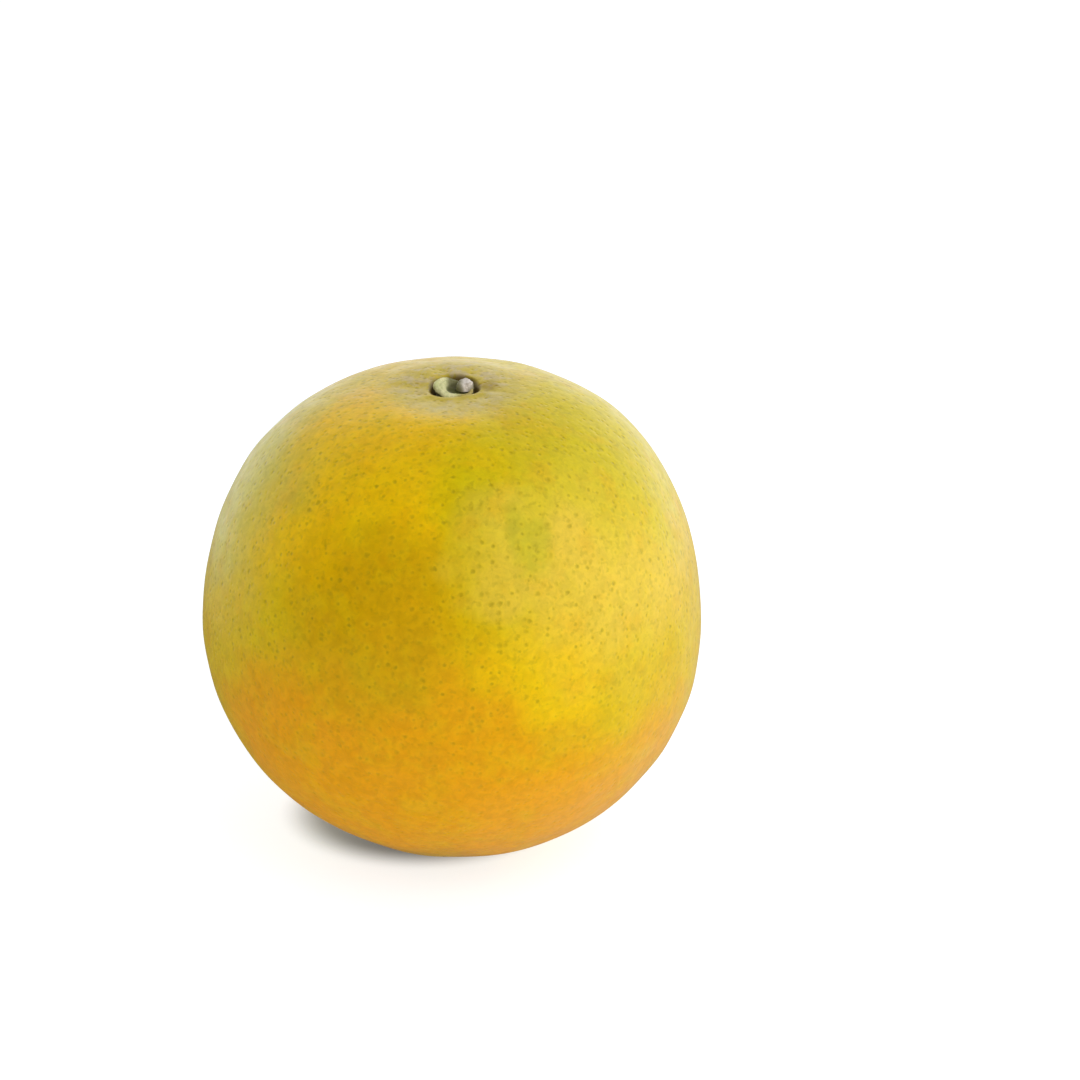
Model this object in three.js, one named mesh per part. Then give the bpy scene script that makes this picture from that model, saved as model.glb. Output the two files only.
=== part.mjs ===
// A whole sweet orange that stands on its blossom end, with the dry button of its
// calyx and the cut end of its stem still in the hollow on top.
// Millimetres, +Z up. The origin is on the surface that the fruit rests on, straight
// under the middle of the fruit.

import * as THREE from 'three';

// Overall size
const WIDTH = 75.0;                // across the middle of the fruit
const RESTING_RADIUS = 7.5;        // edge of the small flat spot underneath

// Outline of the peel: a ball that is slightly square in side view
const SQUARENESS = 0.010;          // fullness of the diagonals, as a share of the radius
const SHOULDER_FULLNESS = 0.020;   // how much fuller the upper diagonals are than the lower
const LEAN = -0.0055;              // the shoulder on -X stands a little higher than on +X
const CHEEK = 0.0036;              // a low swelling on the cheek towards -X
const THREE_LOBES = -0.003;        // three broad, hardly visible lobes round the middle

// Hollow round the stem
const BASIN_DEPTH = 1.1;
const BASIN_RADIUS = 11.0;
const PIT_RADIUS = 4.0;            // steep little pit that holds the button
const PIT_WALL = 1.1;              // width of the pit's sloping wall
const PIT_DEPTH = 1.3;
const FURROWS = 10;                // faint creases that run out from the pit
const FURROW_DEPTH = 0.16;
const FURROW_START = 4.0;          // distances from the stem, along the peel
const FURROW_FULL = 5.5;
const FURROW_END = 14.0;

// Blossom end
const BLOSSOM_DEPTH = 1.2;         // broad flattening underneath
const BLOSSOM_RADIUS = 17.0;
const SCAR_RADIUS = 2.5;           // shallow scar in the middle of the flat spot
const SCAR_DEPTH = 0.5;

// Button and stem
const GAP = 0.3;                   // clearance between touching pieces
const BUTTON_RADIUS = 2.9;
const BUTTON_LOBES = 5;
const BUTTON_LOBE_SIZE = 0.28;
const BUTTON_HEIGHT = 1.25;        // from its underside to the crest of its rim
const DISH_DEPTH = 0.55;           // hollow inside the rim
const DISH_RADIUS = 1.75;
const DISH_OFFSET_X = 0.5;         // the rim is thick towards -X and thin towards +X
const STUB_RADIUS = 1.15;
const STUB_HEIGHT = 0.5;
const STUB_OFFSET_X = 0.8;         // the stem left the button off its middle
const STUB_ROUGHNESS = 0.09;       // the cut end isn't quite round

// Fineness of the meshes
const FRUIT_SEGMENTS = 72;
const PIT_RINGS = 9;
const BODY_RINGS = 30;
const BUTTON_SEGMENTS = 50;
const STUB_SEGMENTS = 24;

// Ball whose squared sides come out at the stated width
const MEAN_RADIUS = WIDTH / 2 / (1 - SQUARENESS);

// 0 before start, 1 after end, and a smooth rise between
function ramp(start, end, value) {
  return THREE.MathUtils.smoothstep(value, start, end);
}

// A bell-shaped dip: its full depth at distance 0, fading over the radius
function dip(depth, radius, distance) {
  return depth * Math.exp(-((distance / radius) ** 2));
}

// Distance from the fruit's centre to its outline, without lobes, pit and furrows.
// polar is the angle down from the stem.
function outlineRadius(polar) {
  const square = SQUARENESS + SHOULDER_FULLNESS * Math.cos(polar);
  const ball = MEAN_RADIUS * (1 - square * Math.cos(4 * polar));
  const fromStem = MEAN_RADIUS * polar;
  const fromBlossom = MEAN_RADIUS * (Math.PI - polar);
  return ball - dip(BASIN_DEPTH, BASIN_RADIUS, fromStem)
    - dip(BLOSSOM_DEPTH, BLOSSOM_RADIUS, fromBlossom);
}

// The irregularities that keep a grown fruit from being a turned one
function lobeHeight(polar, around) {
  const x = Math.sin(polar) * Math.cos(around);
  const z = Math.cos(polar);
  const lean = LEAN * x * z;
  const cheek = CHEEK * x * (3 * z * z - x * x);
  const lobes = THREE_LOBES * Math.sin(polar) ** 2 * Math.cos(3 * around);
  return MEAN_RADIUS * (lean + cheek + lobes);
}

// Creases round the pit, deepest just outside it and gone a little further out
function furrowDepth(fromStem, around) {
  const fade = ramp(FURROW_START, FURROW_FULL, fromStem)
    * (1 - ramp(FURROW_FULL, FURROW_END, fromStem));
  return FURROW_DEPTH * fade * (0.5 - 0.5 * Math.cos(FURROWS * around));
}

function pitDepth(fromStem) {
  return PIT_DEPTH * (1 - ramp(PIT_RADIUS - PIT_WALL, PIT_RADIUS, fromStem));
}

const RESTING_ANGLE = Math.asin(RESTING_RADIUS / (MEAN_RADIUS - BLOSSOM_DEPTH));
const CENTRE_HEIGHT = outlineRadius(Math.PI - RESTING_ANGLE) * Math.cos(RESTING_ANGLE);

// A point of the peel. Inside the resting ring it lies on the flat spot.
function peelPoint(polar, around) {
  const fromBlossom = Math.PI - polar;
  if (fromBlossom < RESTING_ANGLE + 1e-6) {
    const out = CENTRE_HEIGHT * Math.tan(fromBlossom);
    const z = SCAR_DEPTH * (1 - ramp(0, SCAR_RADIUS, out));
    return new THREE.Vector3(out * Math.cos(around), out * Math.sin(around), z);
  }
  const fromStem = MEAN_RADIUS * polar;
  const radius = outlineRadius(polar) + lobeHeight(polar, around)
    - furrowDepth(fromStem, around) - pitDepth(fromStem);
  const out = radius * Math.sin(polar);
  const z = CENTRE_HEIGHT + radius * Math.cos(polar);
  return new THREE.Vector3(out * Math.cos(around), out * Math.sin(around), z);
}

// Angles down from the stem at which the peel has a ring of corners: close together
// in the hollow and on the flat spot, even over the rest
function peelRings() {
  const rings = [];
  const pitStart = (PIT_RADIUS - 1.6 * PIT_WALL) / MEAN_RADIUS;
  const pitEnd = (PIT_RADIUS + 2 * PIT_WALL) / MEAN_RADIUS;
  for (let i = 0; i < PIT_RINGS; i += 1) {
    rings.push(THREE.MathUtils.lerp(pitStart, pitEnd, i / PIT_RINGS));
  }
  const bodyEnd = Math.PI - RESTING_ANGLE;
  for (let i = 0; i <= BODY_RINGS; i += 1) {
    rings.push(THREE.MathUtils.lerp(pitEnd, bodyEnd, i / BODY_RINGS));
  }
  const scarEdge = Math.PI - Math.atan(SCAR_RADIUS / CENTRE_HEIGHT);
  const scarMiddle = Math.PI - Math.atan(SCAR_RADIUS / 2 / CENTRE_HEIGHT);
  rings.push(scarEdge, scarMiddle);
  return rings;
}

// One closed body from a top point, rings of points from top to bottom, and a
// bottom point. Each ring runs anticlockwise seen from above.
function closedBody(top, rings, bottom) {
  const points = [top, ...rings.flat(), bottom];
  const count = rings[0].length;
  const faces = [];
  const corner = (ring, i) => 1 + ring * count + (i % count);
  const last = points.length - 1;
  for (let i = 0; i < count; i += 1) {
    faces.push(0, corner(0, i), corner(0, i + 1));
    faces.push(last, corner(rings.length - 1, i + 1), corner(rings.length - 1, i));
    for (let ring = 0; ring + 1 < rings.length; ring += 1) {
      const a = corner(ring, i);
      const b = corner(ring, i + 1);
      const c = corner(ring + 1, i);
      const d = corner(ring + 1, i + 1);
      faces.push(a, c, b, b, c, d);
    }
  }
  const geometry = new THREE.BufferGeometry().setFromPoints(points);
  geometry.setIndex(faces);
  geometry.computeVertexNormals();
  return geometry;
}

// A body whose rings follow a profile of [radius, height, offset along X] rows from
// top to bottom. edge(around) says how much further out the widest ring reaches at
// each angle, and reach(radius) how much of that a ring takes part in.
function lobedBody(profile, segments, edge, reach) {
  const rings = profile.slice(1, -1).map(([radius, height, offset]) => {
    const ring = [];
    for (let i = 0; i < segments; i += 1) {
      const around = (2 * Math.PI * i) / segments;
      const out = radius + edge(around) * reach(radius);
      const x = offset + out * Math.cos(around);
      ring.push(new THREE.Vector3(x, out * Math.sin(around), height));
    }
    return ring;
  });
  const [, topHeight, topOffset] = profile[0];
  const [, bottomHeight, bottomOffset] = profile[profile.length - 1];
  const top = new THREE.Vector3(topOffset, 0, topHeight);
  const bottom = new THREE.Vector3(bottomOffset, 0, bottomHeight);
  return closedBody(top, rings, bottom);
}

function piece(name, geometry, color, roughness) {
  const material = new THREE.MeshStandardMaterial({ color, roughness, metalness: 0 });
  const mesh = new THREE.Mesh(geometry, material);
  mesh.name = name;
  return mesh;
}

function makeFruit() {
  const rings = peelRings().map((polar) => {
    const ring = [];
    for (let i = 0; i < FRUIT_SEGMENTS; i += 1) {
      ring.push(peelPoint(polar, (2 * Math.PI * i) / FRUIT_SEGMENTS));
    }
    return ring;
  });
  const geometry = closedBody(peelPoint(0, 0), rings, peelPoint(Math.PI, 0));
  return piece('fruit', geometry, '#d2a51e', 0.45);
}

const PIT_FLOOR = peelPoint(0, 0).z;
const DISH_FLOOR = BUTTON_HEIGHT - DISH_DEPTH;

// A shallow five-lobed cup that sits in the pit
function makeButton() {
  const crest = BUTTON_HEIGHT;
  const dish = DISH_FLOOR;
  const profile = [
    [0, dish, DISH_OFFSET_X],
    [DISH_RADIUS * 0.8, dish, DISH_OFFSET_X],
    [DISH_RADIUS, dish + DISH_DEPTH * 0.5, DISH_OFFSET_X],
    [DISH_RADIUS * 1.15, crest, DISH_OFFSET_X * 0.8],
    [BUTTON_RADIUS * 0.93, crest - 0.08, 0],
    [BUTTON_RADIUS, crest - 0.35, 0],
    [BUTTON_RADIUS * 0.95, crest * 0.3, 0],
    [BUTTON_RADIUS * 0.78, 0.05, 0],
    [BUTTON_RADIUS * 0.5, 0, 0],
    [0, 0, 0],
  ];
  const edge = (around) => BUTTON_LOBE_SIZE * Math.cos(BUTTON_LOBES * around);
  const reach = (radius) => (radius / BUTTON_RADIUS) ** 2;
  const geometry = lobedBody(profile, BUTTON_SEGMENTS, edge, reach);
  const mesh = piece('calyx', geometry, '#a9a377', 0.8);
  mesh.position.z = PIT_FLOOR + GAP;
  return mesh;
}

// The woody end that stays in the button when the stem is clipped off
function makeStub() {
  const profile = [
    [0, STUB_HEIGHT, 0],
    [STUB_RADIUS * 0.8, STUB_HEIGHT, 0],
    [STUB_RADIUS, STUB_HEIGHT - 0.15, 0],
    [STUB_RADIUS * 0.94, 0, 0],
    [0, 0, 0],
  ];
  const edge = (around) => STUB_ROUGHNESS * Math.cos(3 * around + 1) * Math.cos(around);
  const reach = (radius) => radius / STUB_RADIUS;
  const geometry = lobedBody(profile, STUB_SEGMENTS, edge, reach);
  const mesh = piece('stem_stub', geometry, '#9b8f84', 0.85);
  mesh.position.set(STUB_OFFSET_X, 0, PIT_FLOOR + GAP + DISH_FLOOR + GAP);
  return mesh;
}

const orange = new THREE.Group();
orange.add(makeFruit(), makeButton(), makeStub());

export default orange;
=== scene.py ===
"""A whole sweet orange on a pale floor, standing on its blossom end.

Blender works in metres and this script's own sizes are in millimetres: mm() turns one
into the other. The fruit's outline follows the same formula as its CAD solid. Its width,
the button's height and the stem's place are read from the frame.
"""

import math

import bmesh
import bpy
import numpy as np
from mathutils import Matrix, Vector


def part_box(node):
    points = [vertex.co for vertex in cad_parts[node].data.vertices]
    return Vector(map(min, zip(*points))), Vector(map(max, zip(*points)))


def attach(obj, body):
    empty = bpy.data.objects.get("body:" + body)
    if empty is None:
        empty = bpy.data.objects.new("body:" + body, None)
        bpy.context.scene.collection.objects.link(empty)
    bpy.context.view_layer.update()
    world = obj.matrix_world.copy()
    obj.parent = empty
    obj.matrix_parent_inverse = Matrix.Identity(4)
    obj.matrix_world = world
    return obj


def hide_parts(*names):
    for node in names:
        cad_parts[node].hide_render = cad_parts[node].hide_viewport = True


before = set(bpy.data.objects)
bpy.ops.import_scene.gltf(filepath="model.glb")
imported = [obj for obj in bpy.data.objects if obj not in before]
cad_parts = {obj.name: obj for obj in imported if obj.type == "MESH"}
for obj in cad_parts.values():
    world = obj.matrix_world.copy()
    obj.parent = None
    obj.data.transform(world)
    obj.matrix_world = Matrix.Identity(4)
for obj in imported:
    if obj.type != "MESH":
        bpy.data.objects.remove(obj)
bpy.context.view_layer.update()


def mm(length):
    """Millimetres as metres."""
    return length * 0.001


# ---------------------------------------------------------------- driving dimensions

FRUIT_LOW, FRUIT_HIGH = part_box("fruit")
WIDTH = (FRUIT_HIGH.y - FRUIT_LOW.y) * 1000

# Outline of the peel: a ball that is slightly square in side view
SQUARENESS = 0.010
SHOULDER_FULLNESS = 0.020
LEAN = -0.0055
CHEEK = 0.0036
THREE_LOBES = -0.003
MEAN_RADIUS = WIDTH / 2 / (1 - SQUARENESS)

# Hollow round the stem, and the pit in it that holds the button
BASIN_DEPTH = 1.1
BASIN_RADIUS = 11.0
PIT_RADIUS = 4.0
PIT_WALL = 1.1
PIT_DEPTH = 1.3
GROWN_SIDE = math.radians(-78)  # where the peel has grown up against the button
GROWN_OVER = 0.95
PIT_WIDER_BEHIND = 0.35
BUTTON_TILT = math.radians(9)  # the pit and its button lean towards the front

# Blossom end, with the small flat spot that the fruit rests on and the scar in it
BLOSSOM_DEPTH = 1.2
BLOSSOM_RADIUS = 17.0
RESTING_RADIUS = 7.5
SCAR_RADIUS = 2.5
SCAR_DEPTH = 0.5

# Button: a ring of sepals. Its sides are angles from +X towards the back, +Y.
BUTTON_RADIUS = 2.9
BUTTON_LOBES = 5
LOBE_SIZE = 0.18
LOBE_PHASE = 3.5                # turns the lobes, so that the left side is a round crescent
RAISED_SIDE = math.radians(150)
SUNK_SIDE = math.radians(-45)   # where the ring goes down into the peel
HIDDEN_SIDE = math.radians(76)  # where it lies low behind the stem

# The cut stem, against its disc in the CAD model
STEM_CROWN = 0.4                # how far its crest is raised, before wear and lean
STEM_SHIFT = (0.7, 0.2, 0.0)    # how far its middle lies from the disc's
STEM_SPREAD = 1.05              # its radius in disc radii, before it is made uneven

# Oil glands of the peel
GLAND_SPACING = 1.35
GLAND_LAYER = 0.65              # a gland further than this from the surface doesn't show
GLAND_RADIUS = 0.55
GLAND_DEPTH = 0.05
PINPOINT_DEPTH = 0.035          # of the finer pinpoint in a gland's middle
PEBBLE_HEIGHT = 0.045           # of the soft unevenness between the glands
GRAIN_HEIGHT = 0.003

# Colour of the peel
FRECKLE_SHRINK = (0.7, 1.35)    # the least and the most that a freckle is drawn in
STEM_CAP_RADIUS = 10.5          # of the tan, greyed ring round the pit
BRUISE_PLACE = (5.0, 0.3, 0.0)
BRUISE_RADIUS = 2.2

# Light: a pale tent, a window at the right and a wide fill from the viewer's side
WALL_LIGHT = 0.92               # brightness of the tent behind and beside the fruit
HORIZON_LIGHT = 1.5             # and of its low part, in mirrored light
FRONT_FILL = 0.03               # and towards the viewer
TOP_SHARE = 0.75                # share of that light which comes from overhead
WINDOW_POWER = 3.9
FILL_POWER = 9.0

# Floor: lit from within, and less so in an oval where the fruit stands: a painted shadow,
# not one cast by the lamps
FLOOR_GLOW = 0.74
SHADE_GLOW = 0.1
SHADE_RADIUS = 12.8
SHADE_SOFTNESS = 1.55           # the shade ends at this many times its radius
SHADE_STRETCH = (0.88, 1.0, 1.0)
SHADE_MIDDLE = (-5.2, 4.0, 0.0)

# Camera, and where the fruit stands in its picture, as shares of the picture's width
CAMERA_ELEVATION = 24.2
CAMERA_DISTANCE = 0.60
SENSOR = 36.0
FRUIT_SHARE = 0.4602
FRUIT_RIGHT = -0.0794           # from the picture's middle to the fruit's
FRUIT_UP = -0.0634

# Fineness of the peel's mesh
FACES_PER_CUBE_EDGE = 112
FINE_RADIUS = 7.5

SEED = 11


# ---------------------------------------------------------------- shape of the peel

def smooth_step(start, end, value):
    """0 before start, 1 after end, and a smooth rise between. Works on arrays."""
    t = np.clip((value - start) / (end - start), 0, 1)
    return t * t * (3 - 2 * t)


def dip(depth, radius, distance):
    return depth * np.exp(-((distance / radius) ** 2))


def bump_round(angle, width):
    """1 where the angle is 0 or a whole turn, and fading to 0 over this width either way."""
    return np.exp(-((np.angle(np.exp(1j * angle)) / width) ** 2))


def outline_radius(polar):
    """Distance from the fruit's centre to its outline at an angle down from the stem."""
    square = SQUARENESS + SHOULDER_FULLNESS * np.cos(polar)
    ball = MEAN_RADIUS * (1 - square * np.cos(4 * polar))
    basin = dip(BASIN_DEPTH, BASIN_RADIUS, MEAN_RADIUS * polar)
    blossom = dip(BLOSSOM_DEPTH, BLOSSOM_RADIUS, MEAN_RADIUS * (math.pi - polar))
    return ball - basin - blossom


RESTING_ANGLE = math.asin(RESTING_RADIUS / (MEAN_RADIUS - BLOSSOM_DEPTH))
CENTRE_HEIGHT = float(outline_radius(math.pi - RESTING_ANGLE)) * math.cos(RESTING_ANGLE)


def lobe_height(direction):
    """The irregularities that keep a grown fruit from being a turned one."""
    x, y, z = direction.T
    around = np.arctan2(y, x)
    lean = LEAN * x * z
    cheek = CHEEK * x * (3 * z * z - x * x)
    lobes = THREE_LOBES * (x * x + y * y) * np.cos(3 * around)
    return MEAN_RADIUS * (lean + cheek + lobes)


def outline_points(direction):
    """Places on the peel, in mm from the fruit's centre, for unit directions."""
    polar = np.arccos(np.clip(direction[:, 2], -1, 1))
    radius = outline_radius(polar) + lobe_height(direction)
    return direction * radius[:, None]


def fine_waves(points, size, seed):
    """Smooth random waves of about this size, between -1 and 1, at places in mm."""
    draw = np.random.default_rng(seed)
    total = np.zeros(len(points))
    waves = 24
    for _ in range(waves):
        heading = draw.normal(size=3)
        heading /= np.linalg.norm(heading)
        length = size * draw.uniform(0.7, 1.5)
        start = draw.uniform(0, 2 * math.pi)
        total += np.sin(points @ heading * (2 * math.pi / length) + start)
    return total / math.sqrt(waves)


def stem_creases(points):
    """Depth of the creases that run out from the pit, in mm: uneven, and gone by the shoulder."""
    out = np.hypot(points[:, 0], points[:, 1])
    around = np.arctan2(points[:, 1], points[:, 0])
    draw = np.random.default_rng(SEED)
    depth = np.zeros(len(points))
    creases = 11
    for i in range(creases):
        middle = 2 * math.pi * (i + draw.uniform(-0.3, 0.3)) / creases
        deepest = draw.uniform(0.08, 0.26)
        reach = draw.uniform(7.5, 14.0)
        bend = draw.uniform(-0.02, 0.02)
        turn = np.angle(np.exp(1j * (around - middle - bend * out)))
        width = draw.uniform(0.45, 0.8)
        across = np.exp(-((turn * out / (width + 0.09 * out)) ** 2))
        along = smooth_step(3.4, 5.0, out) * (1 - smooth_step(5.0, reach, out))
        depth += deepest * across * along
    return np.where(points[:, 2] > 0, depth, 0)


def pit_wall(points):
    """Depth of the pit that holds the button, in mm, with a slightly wavy edge."""
    out = np.hypot(points[:, 0], points[:, 1])
    around = np.arctan2(points[:, 1], points[:, 0])
    edge = PIT_RADIUS + 0.16 * np.cos(3 * around + 0.6) + 0.1 * np.cos(5 * around + 2.0)
    grown = bump_round(around - GROWN_SIDE, 0.85)
    edge = edge - GROWN_OVER * grown + PIT_WIDER_BEHIND * np.maximum(np.sin(around), 0)
    depth = PIT_DEPTH * (1 - smooth_step(edge - PIT_WALL, edge, out)) * (1 - 0.45 * grown)
    lip = 0.06 * np.exp(-(((out - edge - 0.5) / 0.55) ** 2))
    return np.where(points[:, 2] > 0, depth - lip, 0)


def lean_button(points):
    """How far the lean of the pit and the button lifts a place, in mm: behind the stem
    it rises and in front it sinks, and by the shoulder it is gone."""
    out = np.hypot(points[:, 0], points[:, 1])
    near = 1 - smooth_step(3.0, 14.0, out)
    run = np.maximum(points[:, 1], 0.45 * points[:, 1])
    return np.where(points[:, 2] > 0, math.tan(BUTTON_TILT) * run * near, 0)


def shape_peel(direction):
    """The finished peel, apart from its glands: places in mm in the row frame."""
    points = outline_points(direction)
    inward = stem_creases(points) + pit_wall(points)
    inward += 0.06 * fine_waves(points, 9.0, SEED + 1) + 0.10 * fine_waves(points, 22.0, SEED + 2)
    points -= direction * inward[:, None]
    points[:, 2] += lean_button(points)
    points[:, 2] += CENTRE_HEIGHT
    flatten_blossom_end(points)
    return points


def flatten_blossom_end(points):
    """Presses the peel level where it rests, and sinks the blossom scar into that spot."""
    out = np.hypot(points[:, 0], points[:, 1])
    under = (points[:, 2] < CENTRE_HEIGHT) & (out < RESTING_RADIUS * 1.3)
    z = points[:, 2]
    softness = 0.05
    level = 0.5 * (z + np.sqrt(z * z + softness ** 2))
    around = np.arctan2(points[:, 1], points[:, 0])
    scar = SCAR_DEPTH * (1 - smooth_step(0.2, SCAR_RADIUS + 0.15 * np.cos(5 * around), out))
    points[:, 2] = np.where(under, level + scar, z)


# ---------------------------------------------------------------- mesh building

def new_object(name, points, faces):
    """A smooth-shaded mesh object from places in mm."""
    mesh = bpy.data.meshes.new(name)
    mesh.from_pydata([Vector(p) * 0.001 for p in points], [], faces)
    mesh.validate()
    mesh.polygons.foreach_set("use_smooth", [True] * len(mesh.polygons))
    piece = bpy.data.objects.new(name, mesh)
    bpy.context.scene.collection.objects.link(piece)
    return piece


def even_ball():
    """A unit ball of even four-sided faces, made finer round the stem. Returns its
    corners as an array and its faces as lists."""
    ball = bmesh.new()
    bmesh.ops.create_cube(ball, size=2)
    cuts = FACES_PER_CUBE_EDGE - 1
    bmesh.ops.subdivide_edges(ball, edges=ball.edges[:], cuts=cuts, use_grid_fill=True)
    for corner in ball.verts:
        corner.co = Vector([math.tan(c * math.pi / 4) for c in corner.co]).normalized()
    for radius in (FINE_RADIUS, FINE_RADIUS * 0.85):
        reach = math.cos(radius / MEAN_RADIUS)
        fine = [f for f in ball.faces if f.calc_center_median().normalized().z > reach]
        edges = {e for f in fine for e in f.edges}
        bmesh.ops.subdivide_edges(ball, edges=list(edges), cuts=1, use_grid_fill=True)
    for corner in ball.verts:
        corner.co.normalize()
    ball.verts.index_update()
    corners = np.array([v.co for v in ball.verts])
    faces = [[v.index for v in f.verts] for f in ball.faces]
    ball.free()
    return corners, faces


# ---------------------------------------------------------------- node building

def add_node(tree, kind, inputs=None, **settings):
    """A node with these settings. inputs gives a value or another node's socket to each
    named or numbered input."""
    node = tree.nodes.new(kind)
    for name, value in settings.items():
        setattr(node, name, value)
    for name, value in (inputs or {}).items():
        if isinstance(value, bpy.types.NodeSocket):
            tree.links.new(value, node.inputs[name])
        else:
            node.inputs[name].default_value = value
    return node


def calc(tree, operation, *values):
    inputs = dict(enumerate(values))
    return add_node(tree, "ShaderNodeMath", inputs, operation=operation).outputs[0]


def times(tree, *values):
    """The product of two or more numbers."""
    product = values[0]
    for value in values[1:]:
        product = calc(tree, "MULTIPLY", product, value)
    return product


def choose(tree, amount, without, with_it):
    """A number between two others, the second at an amount of 1."""
    inputs = {0: amount, 2: without, 3: with_it}
    return add_node(tree, "ShaderNodeMix", inputs, data_type="FLOAT").outputs[0]


def split(tree, place):
    """The X, Y and Z of a place."""
    return add_node(tree, "ShaderNodeSeparateXYZ", {0: place}).outputs


def vector(tree, operation, *values):
    """A vector sum. SCALE takes its number last."""
    inputs = dict(enumerate(values))
    if operation == "SCALE":
        inputs = {0: values[0], "Scale": values[1]}
    node = add_node(tree, "ShaderNodeVectorMath", inputs, operation=operation)
    is_number = operation in ("LENGTH", "DISTANCE", "DOT_PRODUCT")
    return node.outputs["Value" if is_number else "Vector"]


def fade(tree, value, start, end, low=0.0, high=1.0):
    """low before start, high after end, and a smooth change between."""
    inputs = {0: value, 1: start, 2: end, 3: low, 4: high}
    if start > end:
        inputs = {0: value, 1: end, 2: start, 3: high, 4: low}
    node = add_node(tree, "ShaderNodeMapRange", inputs, interpolation_type="SMOOTHSTEP")
    return node.outputs[0]


def noise(tree, place, size, detail=2.0, roughness=0.5, warp=0.0):
    """Cloudy noise from 0 to 1 whose patches are about this many millimetres."""
    inputs = {
        "Vector": place, "Scale": 1 / size, "Detail": detail,
        "Roughness": roughness, "Distortion": warp,
    }
    return add_node(tree, "ShaderNodeTexNoise", inputs).outputs["Fac"]


def blend_color(tree, amount, under, over, how="MIX"):
    """over laid on under by amount. Colours are (r, g, b) or sockets."""
    node = add_node(tree, "ShaderNodeMix", data_type="RGBA", blend_type=how, clamp_factor=True)
    for number, value in ((0, amount), (6, under), (7, over)):
        socket = node.inputs[number]
        if isinstance(value, bpy.types.NodeSocket):
            tree.links.new(value, socket)
        elif isinstance(value, tuple):
            socket.default_value = (*value, 1.0)
        else:
            socket.default_value = value
    return node.outputs[2]


def paint(red, green, blue):
    """A colour given as it looks on a screen, 0 to 255, as linear light."""
    channels = [c / 255 for c in (red, green, blue)]
    return tuple(c / 12.92 if c <= 0.04045 else ((c + 0.055) / 1.055) ** 2.4 for c in channels)


# ---------------------------------------------------------------- pattern of the glands

def gland_pattern(tree, direction):
    """The oil glands, the same in the mesh and in the colour. Returns how far a place is
    from the nearest gland's middle in mm, how strong that gland is, 0 to 1, and its rank,
    a number from 0 to 1 of its own."""
    place = vector(tree, "SCALE", direction, MEAN_RADIUS)
    inputs = {"Vector": place, "Scale": 1 / GLAND_SPACING, "Randomness": 1.0}
    cells = add_node(tree, "ShaderNodeTexVoronoi", inputs, voronoi_dimensions="3D", feature="F1")
    middle = cells.outputs["Position"]
    depth = calc(tree, "SUBTRACT", vector(tree, "LENGTH", middle), MEAN_RADIUS)
    on_peel = vector(tree, "SCALE", vector(tree, "NORMALIZE", middle), MEAN_RADIUS)
    away = vector(tree, "DISTANCE", place, on_peel)
    strength = fade(tree, calc(tree, "ABSOLUTE", depth), GLAND_LAYER, GLAND_LAYER * 0.25)
    rank = split(tree, cells.outputs["Color"])[0]
    return away, strength, rank


def press_in_glands(peel):
    """Moves the peel's corners inward at each gland, as real shape."""
    tree = bpy.data.node_groups.new("gland relief", "GeometryNodeTree")
    tree.interface.new_socket("Geometry", in_out="INPUT", socket_type="NodeSocketGeometry")
    tree.interface.new_socket("Geometry", in_out="OUTPUT", socket_type="NodeSocketGeometry")
    start = tree.nodes.new("NodeGroupInput")
    end = tree.nodes.new("NodeGroupOutput")
    position = add_node(tree, "GeometryNodeInputPosition").outputs[0]
    from_centre = vector(tree, "SUBTRACT", position, (0, 0, mm(CENTRE_HEIGHT)))
    direction = vector(tree, "NORMALIZE", from_centre)
    away, strength, _ = gland_pattern(tree, direction)
    hollow = times(tree, fade(tree, away, GLAND_RADIUS, 0.0), strength)
    offset = vector(tree, "SCALE", direction, times(tree, hollow, -mm(GLAND_DEPTH)))
    moved = add_node(tree, "GeometryNodeSetPosition", {"Offset": offset})
    tree.links.new(start.outputs[0], moved.inputs["Geometry"])
    tree.links.new(moved.outputs["Geometry"], end.inputs[0])
    peel.modifiers.new("gland relief", "NODES").node_group = tree
    result = peel.evaluated_get(bpy.context.evaluated_depsgraph_get())
    pressed = bpy.data.meshes.new_from_object(result)
    peel.modifiers.clear()
    peel.data = pressed
    bpy.data.node_groups.remove(tree)


# ---------------------------------------------------------------- materials

def new_material(name):
    """A material with a Principled shader. Returns the material, its tree and the shader."""
    material = bpy.data.materials.new(name)
    material.use_nodes = True
    tree = material.node_tree
    return material, tree, tree.nodes["Principled BSDF"]


def place_in(tree, origin):
    """Where a point lies from an origin in the row frame (metres), in mm."""
    coordinates = add_node(tree, "ShaderNodeTexCoord").outputs["Object"]
    return vector(tree, "SCALE", vector(tree, "SUBTRACT", coordinates, tuple(origin)), 1000.0)


def towards(azimuth, elevation):
    """A unit direction. Azimuth 0 points at the viewer (-Y) and 90 at the right (+X)."""
    a, e = math.radians(azimuth), math.radians(elevation)
    return (math.sin(a) * math.cos(e), -math.cos(a) * math.cos(e), math.sin(e))


def patch(tree, direction, azimuth, elevation, inner, outer):
    """1 within inner degrees of a direction on the fruit and 0 beyond outer degrees."""
    near = vector(tree, "DOT_PRODUCT", direction, towards(azimuth, elevation))
    return fade(tree, near, math.cos(math.radians(outer)), math.cos(math.radians(inner)))


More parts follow.
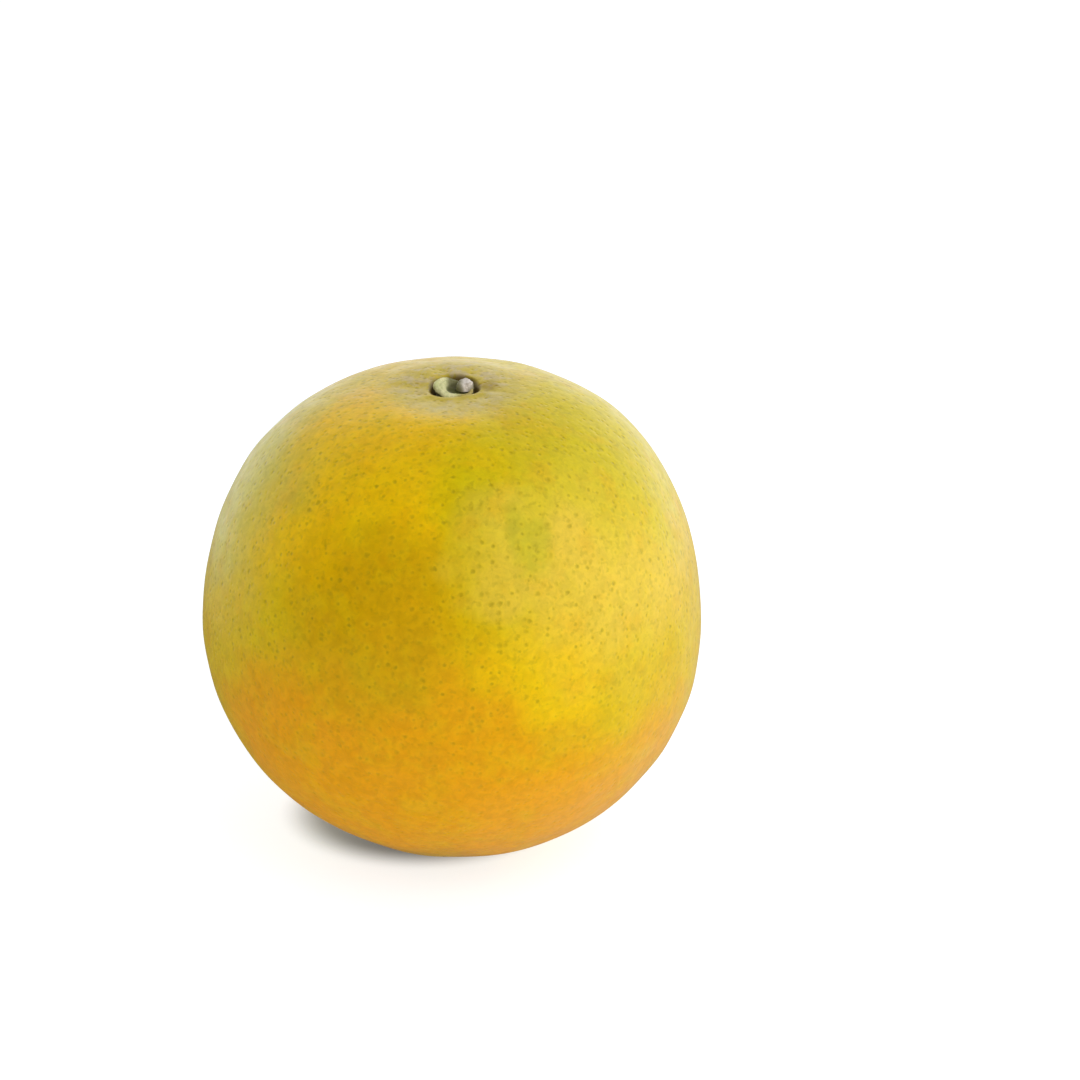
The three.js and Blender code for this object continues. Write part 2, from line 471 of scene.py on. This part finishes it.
GOLD = paint(213, 180, 3)
# painted shade: a deeper gold for the dim left front
GOLD_SHADE = paint(207, 158, 2)
SUN = paint(239, 193, 3)
# partly a paler straw tint, partly a painted highlight: its blue gives the milky gleam of the
# window at the upper right
STRAW_HIGHLIGHT = paint(225, 192, 66)
AMBER = paint(227, 156, 4)
LIME = paint(204, 190, 6)
MOSS = paint(160, 166, 24)
# partly a grey-green tinge, partly a painted pale sheen for the left rim
SAGE_SHEEN = paint(190, 183, 66)
STEM_TAN = paint(194, 176, 82)
# partly a grey tinge, partly a painted pale sheen on the top behind the pit
STEM_GREY_SHEEN = paint(196, 178, 136)
# partly the pit's own brown, partly painted shade in the gap round the button
PIT_BROWN_SHADE = paint(74, 54, 16)
SCAR_BROWN = paint(118, 84, 40)
# painted shade: a dull brown for the underside's left front, just above where the fruit rests
UNDERSIDE_SHADE = paint(158, 120, 14)
PALE_RIM = paint(244, 206, 20)
SPECK = paint(128, 112, 12)

# Where the colour changes: tint, azimuth, elevation, inner and outer spread in degrees,
# and strength. The ones with an azimuth beyond 90 are at the back. Some rows paint light:
# shade on the dim left front and the underside, a highlight at the upper right and a sheen
# on the left rim.
TINTS = (
    (AMBER, -32, -24, 18, 42, 1.0),
    (AMBER, 8, -38, 20, 46, 1.0),
    (AMBER, 50, -32, 8, 33, 0.8),
    (AMBER, -4, 2, 6, 24, 0.75),
    (SUN, -50, 50, 10, 36, 1.0),
    (SUN, -5, 62, 5, 25, 0.6),
    # painted shade over the dim left front
    (GOLD_SHADE, -20, 20, 8, 27, 0.9),
    (SUN, 22, 8, 4, 17, 0.7),
    # partly a paler tint, partly a painted highlight at the upper right
    (STRAW_HIGHLIGHT, 45, 32, 10, 37, 0.85),
    (LIME, 14, 48, 5, 20, 0.7),
    (STRAW_HIGHLIGHT, 14, 37, 4, 18, 0.45),
    (LIME, 72, 52, 10, 34, 0.7),
    (MOSS, 21, 38, 0, 7, 0.35),
    # partly a grey-green tinge, partly painted sheen on the left rim
    (SAGE_SHEEN, -86, 36, 6, 31, 0.9),
    (SAGE_SHEEN, -95, 58, 4, 20, 0.4),
    (LIME, 150, 30, 15, 60, 0.8),
    (AMBER, 115, -35, 10, 50, 0.9),
    (SUN, -160, -15, 10, 45, 0.8),
    (AMBER, -115, -25, 10, 40, 0.8),
    (MOSS, -140, 40, 0, 25, 0.3),
    # painted shade darkening the underside's left front above the resting spot
    (UNDERSIDE_SHADE, -38, -79, 4, 36, 0.85),
)


def peel_tint(tree, place, direction):
    """The ripening colours of the peel: gold with drifts of amber, yellow and green, and
    painted light: shade on the dim left front and underneath, a highlight at the upper right
    and a sheen on the left rim.
    """
    drift = add_node(
        tree, "ShaderNodeTexNoise", {"Vector": place, "Scale": 1 / 11, "Detail": 4.0},
    ).outputs["Color"]
    shift = vector(tree, "SCALE", vector(tree, "SUBTRACT", drift, (0.5, 0.5, 0.5)), 0.45)
    drifted = vector(tree, "NORMALIZE", vector(tree, "ADD", direction, shift))
    color = GOLD
    for tint, azimuth, elevation, inner, outer, amount in TINTS:
        zone = patch(tree, drifted, azimuth, elevation, inner, outer)
        color = blend_color(tree, times(tree, zone, amount), color, tint)
    cool = fade(tree, noise(tree, place, 6.0, 4.0, 0.6), 0.45, 0.68)
    color = blend_color(tree, times(tree, cool, 0.2), color, LIME)
    elsewhere = vector(tree, "ADD", place, (31.0, 7.0, 19.0))
    warm = fade(tree, noise(tree, elsewhere, 6.5, 4.0, 0.6), 0.48, 0.7)
    return blend_color(tree, times(tree, warm, 0.22), color, AMBER)


def ragged(tree, distance, place, size, amount, *detail):
    """A distance that noise of this size makes uneven by up to this many mm."""
    return calc(tree, "ADD", distance, times(tree, noise(tree, place, size, *detail), amount))


def grey(tree, value):
    """A grey colour with this brightness."""
    return add_node(tree, "ShaderNodeCombineColor", {0: value, 1: value, 2: value}).outputs[0]


def paint_stem_cap(tree, color, place, out, above):
    """The tan ring round the pit, with grey streaks that are strongest behind it: partly the
    peel's own tan, partly a painted pale sheen on the top.
    """
    edge = ragged(tree, out, place, 3.0, -5.0, 4.0, 0.6)
    cap = times(tree, fade(tree, edge, STEM_CAP_RADIUS, STEM_CAP_RADIUS - 6.0), above)
    color = blend_color(tree, times(tree, cap, 0.75), color, STEM_TAN)
    # grey streaks, partly painted sheen, strongest behind the pit
    streaks = fade(tree, noise(tree, place, 2.4, 4.0, 0.65, 0.6), 0.47, 0.62)
    behind = fade(tree, split(tree, place)[1], -3.0, 5.0, 0.45, 0.9)
    return blend_color(tree, times(tree, streaks, cap, behind), color, STEM_GREY_SHEEN)


def paint_mottling(tree, color, place):
    """Slightly darker and lighter worm-like marks and grain."""
    worms = fade(tree, noise(tree, place, 1.5, 3.0, 0.6, 0.8), 0.3, 0.7, 0.92, 1.07)
    grain = fade(tree, noise(tree, place, 0.4, 2.0), 0.3, 0.7, 0.98, 1.02)
    return blend_color(tree, 1.0, color, grey(tree, times(tree, worms, grain)), "MULTIPLY")


def paint_freckles(tree, color, place, height, glands):
    """A pale rim and a fuzzy dark dot at each gland, and flecks between them. They are
    weaker low on the fruit."""
    away, strength, rank = glands
    freckled = times(tree, strength, fade(tree, rank, 0.0, 1.0, 0.25, 1.0))
    freckled = times(tree, freckled, fade(tree, height, -0.6, 0.3, 0.25, 1.0))
    rim = times(tree, fade(tree, away, 0.85, 0.45), freckled)
    color = blend_color(tree, times(tree, rim, 0.12), color, PALE_RIM)
    cloud = noise(tree, place, 4.0, 2.0)
    shrink = fade(tree, cloud, 0.35, 0.65, *FRECKLE_SHRINK)
    edge = ragged(tree, times(tree, away, shrink), place, 0.5, -0.45, 3.0, 0.6)
    dot = times(tree, fade(tree, edge, 0.2, -0.16), freckled)
    color = blend_color(tree, times(tree, dot, 0.45), color, SPECK)
    fleck = fade(tree, noise(tree, place, 1.0, 2.0, 0.5), 0.56, 0.7)
    fleck = times(tree, fleck, fade(tree, height, -0.6, 0.3, 0.3, 1.0))
    return blend_color(tree, times(tree, fleck, 0.2), color, SPECK)


def paint_pit_shade(tree, color, flat, out, above):
    """The pit, as wide as pit_wall() makes it on each side: dark brown, partly its own colour
    and partly painted shade in the gap round the button.
    """
    heading = vector(tree, "NORMALIZE", flat)
    toward_grown = (math.cos(GROWN_SIDE), math.sin(GROWN_SIDE), 0.0)
    grown = fade(tree, vector(tree, "DOT_PRODUCT", heading, toward_grown), 0.4, 1.0)
    from_edge = calc(tree, "ADD", out, times(tree, grown, GROWN_OVER))
    behind = fade(tree, vector(tree, "DOT_PRODUCT", heading, (0.0, 1.0, 0.0)), 0.1, 0.9)
    from_edge = calc(tree, "SUBTRACT", from_edge, times(tree, behind, PIT_WIDER_BEHIND))
    # painted shade: dark brown in the pit round the button
    pit = times(tree, fade(tree, from_edge, PIT_RADIUS + 0.1, PIT_RADIUS - 0.7), above)
    return blend_color(tree, times(tree, pit, 0.92), color, PIT_BROWN_SHADE)


def peel_color(tree, place, direction, glands):
    """The peel's tint with its painted shade, highlight and sheen, its stem cap with painted
    sheen, mottling, freckles, bruise, pit with painted shade, and scar.
    """
    height = vector(tree, "DOT_PRODUCT", direction, (0.0, 0.0, 1.0))
    flat = vector(tree, "MULTIPLY", place, (1.0, 1.0, 0.0))
    out = vector(tree, "LENGTH", flat)
    above = fade(tree, height, 0.0, 0.3)
    color = peel_tint(tree, place, direction)
    color = paint_stem_cap(tree, color, place, out, above)
    color = paint_mottling(tree, color, place)
    color = paint_freckles(tree, color, place, height, glands)
    from_bruise = vector(tree, "DISTANCE", flat, BRUISE_PLACE)
    bruise = times(tree, fade(tree, from_bruise, BRUISE_RADIUS, 0.6), above)
    color = blend_color(tree, times(tree, bruise, 0.4), color, SCAR_BROWN)
    color = paint_pit_shade(tree, color, flat, out, above)
    below = fade(tree, height, -0.8, -0.95)
    edge = ragged(tree, out, place, 1.5, -1.6, 3.0)
    scar = times(tree, fade(tree, edge, SCAR_RADIUS, SCAR_RADIUS - 1.5), below)
    return blend_color(tree, times(tree, scar, 0.85), color, SCAR_BROWN)


def peel_bump(tree, place, away, strength):
    """Fine relief on top of the real glands: a pinpoint in each and a soft pebbling."""
    pebbles = times(tree, noise(tree, place, 1.1, 3.0, 0.5), PEBBLE_HEIGHT)
    grain = times(tree, noise(tree, place, 0.3, 2.0), GRAIN_HEIGHT)
    pinpoint = times(tree, fade(tree, away, 0.4, 0.0), times(tree, strength, -PINPOINT_DEPTH))
    height = calc(tree, "ADD", calc(tree, "ADD", pebbles, grain), pinpoint)
    inputs = {"Height": height, "Strength": 1.0, "Distance": mm(1.0)}
    return add_node(tree, "ShaderNodeBump", inputs).outputs[0]


def peel_material():
    material, tree, shader = new_material("citrus peel")
    place = place_in(tree, (0, 0, mm(CENTRE_HEIGHT)))
    direction = vector(tree, "NORMALIZE", place)
    glands = gland_pattern(tree, direction)
    tree.links.new(peel_color(tree, place, direction, glands), shader.inputs["Base Color"])
    tree.links.new(peel_bump(tree, place, glands[0], glands[1]), shader.inputs["Normal"])
    rough = fade(tree, noise(tree, place, 2.5, 3.0), 0.3, 0.7, 0.30, 0.40)
    tree.links.new(rough, shader.inputs["Roughness"])
    shader.inputs["IOR"].default_value = 1.45
    shader.inputs["Specular IOR Level"].default_value = 0.58
    shader.inputs["Specular Tint"].default_value = (1.0, 0.85, 0.2, 1.0)
    shader.inputs["Subsurface Weight"].default_value = 0.12
    shader.inputs["Subsurface Radius"].default_value = (1.0, 0.5, 0.12)
    shader.inputs["Subsurface Scale"].default_value = mm(2.0)
    return material


def calyx_material():
    material, tree, shader = new_material("dry calyx")
    middle = (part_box("calyx")[0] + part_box("calyx")[1]) / 2
    place = place_in(tree, middle)
    cloud = fade(tree, noise(tree, place, 1.1, 4.0, 0.6), 0.35, 0.65)
    cream = blend_color(tree, cloud, paint(228, 222, 166), paint(200, 202, 138))
    olive = blend_color(tree, cloud, paint(196, 178, 104), paint(166, 150, 84))
    side = split(tree, place)
    rightward = ragged(tree, side[0], place, 0.8, 1.2, 3.0)
    color = blend_color(tree, fade(tree, rightward, 0.2, 1.8), cream, olive)
    height = calc(tree, "SUBTRACT", side[2], times(tree, side[1], math.tan(BUTTON_TILT)))
    # painted shade: the calyx is olive-dark low down and in its dish
    low = fade(tree, height, 0.3, -0.05)
    color = blend_color(tree, low, color, paint(84, 86, 34))
    # painted shade in the channel at the back left of the dish
    dish_shade = times(tree, fade(tree, side[0], -1.7, -0.8), fade(tree, side[1], -0.1, 0.7))
    color = blend_color(tree, times(tree, dish_shade, 0.85), color, paint(92, 88, 38))
    # painted shade: brown at the foot, where the ring meets the peel
    foot = fade(tree, height, -0.1, -0.5)
    color = blend_color(tree, foot, color, paint(96, 74, 34))
    tree.links.new(color, shader.inputs["Base Color"])
    ribs = noise(tree, vector(tree, "MULTIPLY", place, (1.0, 1.0, 0.35)), 0.3, 3.0)
    bump = add_node(tree, "ShaderNodeBump", {"Height": ribs, "Strength": 0.6, "Distance": mm(0.12)})
    tree.links.new(bump.outputs[0], shader.inputs["Normal"])
    shader.inputs["Roughness"].default_value = 0.62
    return material


def stem_material():
    material, tree, shader = new_material("cut stem")
    low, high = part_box("stem_stub")
    place = place_in(tree, (low + high) / 2 + Vector(STEM_SHIFT) * 0.001)
    out = vector(tree, "LENGTH", vector(tree, "MULTIPLY", place, (1.0, 1.0, 0.0)))
    cloud = noise(tree, place, 0.5, 4.0, 0.6)
    cloudy = fade(tree, cloud, 0.35, 0.65)
    pale = blend_color(tree, cloudy, paint(232, 222, 212), paint(196, 184, 168))
    # painted shade: the stub's left side is drawn olive-grey, away from the window light, while its
    # right stays pale
    side = split(tree, place)[0]
    rightward = calc(tree, "ADD", side, times(tree, cloud, 0.8))
    color = blend_color(tree, fade(tree, rightward, 0.5, -0.5), pale, paint(132, 128, 92))
    bark = fade(tree, out, 1.15, 1.4)
    color = blend_color(tree, bark, color, paint(110, 106, 60))
    tree.links.new(color, shader.inputs["Base Color"])
    bump = add_node(tree, "ShaderNodeBump", {"Height": cloud, "Strength": 0.7, "Distance": mm(0.1)})
    tree.links.new(bump.outputs[0], shader.inputs["Normal"])
    shader.inputs["Roughness"].default_value = 0.6
    return material


# ---------------------------------------------------------------- pieces

def finish_piece(piece, node, material):
    piece.data.materials.clear()
    piece.data.materials.append(material)
    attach(piece, "root")
    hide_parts(node)


def make_peel():
    direction, faces = even_ball()
    peel = new_object("peel", shape_peel(direction), faces)
    press_in_glands(peel)
    finish_piece(peel, "fruit", peel_material())


def ring_body(rows, segments, shape):
    """Corners and faces of a closed body of rings round Z. rows are (radius, height,
    offset) from the top's middle to the bottom's; shape moves each place."""
    around = np.linspace(0, 2 * math.pi, segments, endpoint=False)
    points = []
    for row, (radius, height, offset) in enumerate(rows):
        x = offset + radius * np.cos(around)
        y = radius * np.sin(around)
        ring = np.stack([x, y, np.full(segments, height)], axis=1)
        points.append(ring if 0 < row < len(rows) - 1 else ring[:1])
    points = shape(np.concatenate(points))
    last = len(points) - 1
    faces = []
    for i in range(segments):
        j = (i + 1) % segments
        faces.append([0, 1 + i, 1 + j])
        for ring in range(len(rows) - 3):
            a = 1 + ring * segments
            b = a + segments
            faces.append([a + i, b + i, b + j, a + j])
        bottom = 1 + (len(rows) - 3) * segments
        faces.append([bottom + i, last, bottom + j])
    return points, faces


def smooth_rows(rows, steps):
    """More rows along a smooth curve through these (Catmull-Rom)."""
    rows = np.array(rows, float)
    padded = np.concatenate([rows[:1], rows, rows[-1:]])
    curve = [rows[0]]
    for i in range(1, len(padded) - 2):
        before, start, end, after = padded[i - 1:i + 3]
        for step in range(1, steps + 1):
            t = step / steps
            bend = 2 * start + (end - before) * t
            bend = bend + (2 * before - 5 * start + 4 * end - after) * t ** 2
            bend = bend + (3 * start - before - 3 * end + after) * t ** 3
            curve.append(bend / 2)
    return [tuple(row) for row in curve]


def make_calyx():
    """The button: a thick, wrinkled ring of five grown-together sepals round a dish."""
    low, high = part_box("calyx")
    bottom = low.z * 1000
    crest = (high.z - low.z) * 1000
    rows = (
        (0, crest * 0.48, 0.6), (0.9, crest * 0.46, 0.6), (1.5, crest * 0.5, 0.6),
        (1.85, crest * 0.72, 0.5), (2.1, crest * 0.96, 0.4), (2.32, crest * 0.9, 0.25),
        (2.5, crest * 1.0, 0.1), (2.75, crest * 0.92, 0), (BUTTON_RADIUS, crest * 0.68, 0),
        (2.8, crest * 0.3, 0), (2.3, 0.05, 0), (1.2, 0, 0), (0, 0, 0),
    )

    def shape(points):
        out = np.hypot(points[:, 0], points[:, 1])
        around = np.arctan2(points[:, 1], points[:, 0])
        share = (out / BUTTON_RADIUS) ** 2
        lobes = LOBE_SIZE * np.cos(BUTTON_LOBES * around + LOBE_PHASE)
        lobes = lobes + 0.1 * np.cos(2 * around + 1.0)
        notch = -0.16 * bump_round(BUTTON_LOBES * (around - 0.75), 0.5)
        stretch = 1 + (lobes + notch) * share / np.maximum(out, 0.5)
        points[:, :2] *= stretch[:, None]
        height = points[:, 2] / crest
        raised = bump_round(around - RAISED_SIDE, 0.8)
        sunk = bump_round(around - SUNK_SIDE, 0.9)
        hidden = bump_round(around - HIDDEN_SIDE, 0.62)
        lift = 0.5 * raised - 0.28 * sunk - 0.7 * hidden
        points[:, 2] += height * share * lift
        wrinkle = 0.035 * fine_waves(points, 0.9, SEED + 3) + 0.02 * np.sin(29 * around)
        points[:, 2] += wrinkle * smooth_step(0.2, 0.6, height)
        points[:, 2] += bottom + math.tan(BUTTON_TILT) * points[:, 1]
        return points

    points, faces = ring_body(smooth_rows(rows, 4), 150, shape)
    piece = new_object("calyx_button", points, faces)
    finish_piece(piece, "calyx", calyx_material())


def make_stem():
    """The broken end of the stem: a low worn mound, highest at its right and cracked."""
    low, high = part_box("stem_stub")
    middle = (low + high) * 500
    foot = low.z * 1000 - 0.25
    rise = high.z * 1000 - foot + STEM_CROWN
    radius = (high.x - low.x) * 500 * STEM_SPREAD
    rows = (
        (0, rise * 0.94, 0), (radius * 0.4, rise, 0), (radius * 0.66, rise * 0.96, 0),
        (radius * 0.86, rise * 0.82, 0), (radius * 0.97, rise * 0.55, 0),
        (radius * 1.0, rise * 0.25, 0), (radius * 0.95, 0, 0), (0, 0, 0),
    )

    def shape(points):
        around = np.arctan2(points[:, 1], points[:, 0])
        out = np.hypot(points[:, 0], points[:, 1])
        stretch = 1 + 0.06 * np.cos(3 * around + 1) + 0.03 * np.cos(7 * around)
        points[:, :2] *= stretch[:, None]
        upper = smooth_step(0.3, 0.8, points[:, 2] / rise)
        points[:, 2] += upper * 0.07 * fine_waves(points, 0.9, SEED + 4)
        points[:, 2] += upper * 0.12 * points[:, 0] / radius
        crack = bump_round(3 * (around - 0.9), 0.4)
        points[:, 2] -= upper * 0.10 * crack * smooth_step(0.15, 0.6, out / radius)
        points += np.array([middle.x, middle.y, foot]) + STEM_SHIFT
        points[:, 2] += math.tan(BUTTON_TILT) * points[:, 1]
        return points

    points, faces = ring_body(smooth_rows(rows, 5), 96, shape)
    piece = new_object("stem_end", points, faces)
    finish_piece(piece, "stem_stub", stem_material())


# ---------------------------------------------------------------- floor, light and camera

def make_floor():
    side = 3.0
    square = ((-1, -1), (1, -1), (1, 1), (-1, 1))
    corners = [(x * side * 1000, y * side * 1000, 0) for x, y in square]
    floor = new_object("floor", corners, [[0, 1, 2, 3]])
    material, tree, shader = new_material("white floor")
    # painted shadow: the floor glows less in an oval round where the fruit stands
    place = vector(tree, "SUBTRACT", place_in(tree, (0, 0, 0)), SHADE_MIDDLE)
    away = vector(tree, "LENGTH", vector(tree, "MULTIPLY", place, SHADE_STRETCH))
    edge = SHADE_RADIUS * SHADE_SOFTNESS
    glow_and_shadow = fade(tree, away, SHADE_RADIUS, edge, SHADE_GLOW, FLOOR_GLOW)
    tree.links.new(glow_and_shadow, shader.inputs["Emission Strength"])
    shader.inputs["Base Color"].default_value = (0.45, 0.5, 0.6, 1)
    shader.inputs["Roughness"].default_value = 0.8
    shader.inputs["Specular IOR Level"].default_value = 0.2
    shader.inputs["Emission Color"].default_value = (1, 1, 1, 1)
    floor.visible_glossy = False
    floor.data.materials.append(material)


def make_world():
    """A pale tent: bright behind and beside the fruit, dimmer towards the viewer. The
    side that the viewer stands on is lit but has nothing bright to mirror, and the
    backdrop itself shows plain white."""
    world = bpy.data.worlds.new("studio")
    bpy.context.scene.world = world
    world.use_nodes = True
    tree = world.node_tree
    heading = add_node(tree, "ShaderNodeTexCoord").outputs["Generated"]
    to_front = vector(tree, "DOT_PRODUCT", heading, (0.0, -1.0, 0.0))
    to_dark = vector(tree, "DOT_PRODUCT", heading, towards(-17, 0))
    to_right = vector(tree, "DOT_PRODUCT", heading, (1.0, 0.0, 0.0))
    to_top = vector(tree, "DOT_PRODUCT", heading, (0.0, 0.0, 1.0))
    ray = add_node(tree, "ShaderNodeLightPath").outputs
    low = fade(tree, to_top, -0.4, -0.12, 0.1, HORIZON_LIGHT)
    high = fade(tree, to_top, 0.6, 0.88, WALL_LIGHT, 0.03)
    wall = choose(tree, fade(tree, to_top, 0.15, 0.5), low, high)
    behind = times(tree, wall, fade(tree, to_dark, 0.25, -0.35))
    table = times(
        tree, fade(tree, to_right, -0.2, 0.7, 0.0, 0.6), fade(tree, to_top, -0.15, -0.4),
        fade(tree, to_front, 0.9, 0.2),
    )
    mirrored = calc(tree, "ADD", behind, table)
    lighting = times(
        tree, fade(tree, to_front, -0.3, 0.6, WALL_LIGHT, FRONT_FILL),
        fade(tree, to_top, 0.5, 0.95, 1.0, TOP_SHARE),
    )
    light = choose(tree, ray["Is Glossy Ray"], lighting, mirrored)
    strength = calc(tree, "MAXIMUM", light, ray["Is Camera Ray"])
    tree.links.new(strength, tree.nodes["Background"].inputs["Strength"])
    tree.nodes["Background"].inputs["Color"].default_value = (1, 1, 1, 1)
    world.cycles.sampling_method = "NONE"


def softbox(name, heading, distance, size, power, mirrored=True):
    """A panel of light that faces the fruit from a heading (azimuth, elevation), with its
    distance and (width, height) in metres. One that isn't mirrored lights without a gleam."""
    lamp = bpy.data.lights.new(name, "AREA")
    lamp.shape = "RECTANGLE"
    lamp.size, lamp.size_y = size
    lamp.energy = power
    holder = bpy.data.objects.new(name, lamp)
    bpy.context.scene.collection.objects.link(holder)
    away = Vector(towards(*heading))
    centre = Vector((0, 0, mm(CENTRE_HEIGHT)))
    holder.location = centre + away * distance
    holder.rotation_euler = away.to_track_quat("Z", "Y").to_euler()
    holder.visible_camera = False
    holder.visible_glossy = mirrored


def make_camera():
    data = bpy.data.cameras.new("camera")
    camera = bpy.data.objects.new("camera", data)
    bpy.context.scene.collection.objects.link(camera)
    data.sensor_width = SENSOR
    data.lens = SENSOR * FRUIT_SHARE * CAMERA_DISTANCE / mm(WIDTH)
    centre = Vector((0, 0, mm(CENTRE_HEIGHT)))
    back = Vector(towards(0, CAMERA_ELEVATION))
    camera.location = centre + back * CAMERA_DISTANCE
    to_fruit = back.to_track_quat("Z", "Y").to_matrix()
    yaw = math.atan(FRUIT_RIGHT * SENSOR / data.lens)
    pitch = math.atan(FRUIT_UP * SENSOR / data.lens)
    turn = Matrix.Rotation(yaw, 3, "Y") @ Matrix.Rotation(-pitch, 3, "X")
    camera.matrix_world = Matrix.Translation(camera.location) @ (to_fruit @ turn).to_4x4()
    data.clip_start = 0.01
    data.clip_end = 20.0
    bpy.context.scene.camera = camera


def main():
    make_peel()
    make_calyx()
    make_stem()
    make_floor()
    make_world()
    softbox("window", (60, 36), 0.8, (0.95, 1.15), WINDOW_POWER)
    softbox("fill", (4, 26), 1.2, (2.4, 1.8), FILL_POWER, mirrored=False)
    make_camera()
    bpy.context.scene.view_settings.view_transform = "Standard"


main()
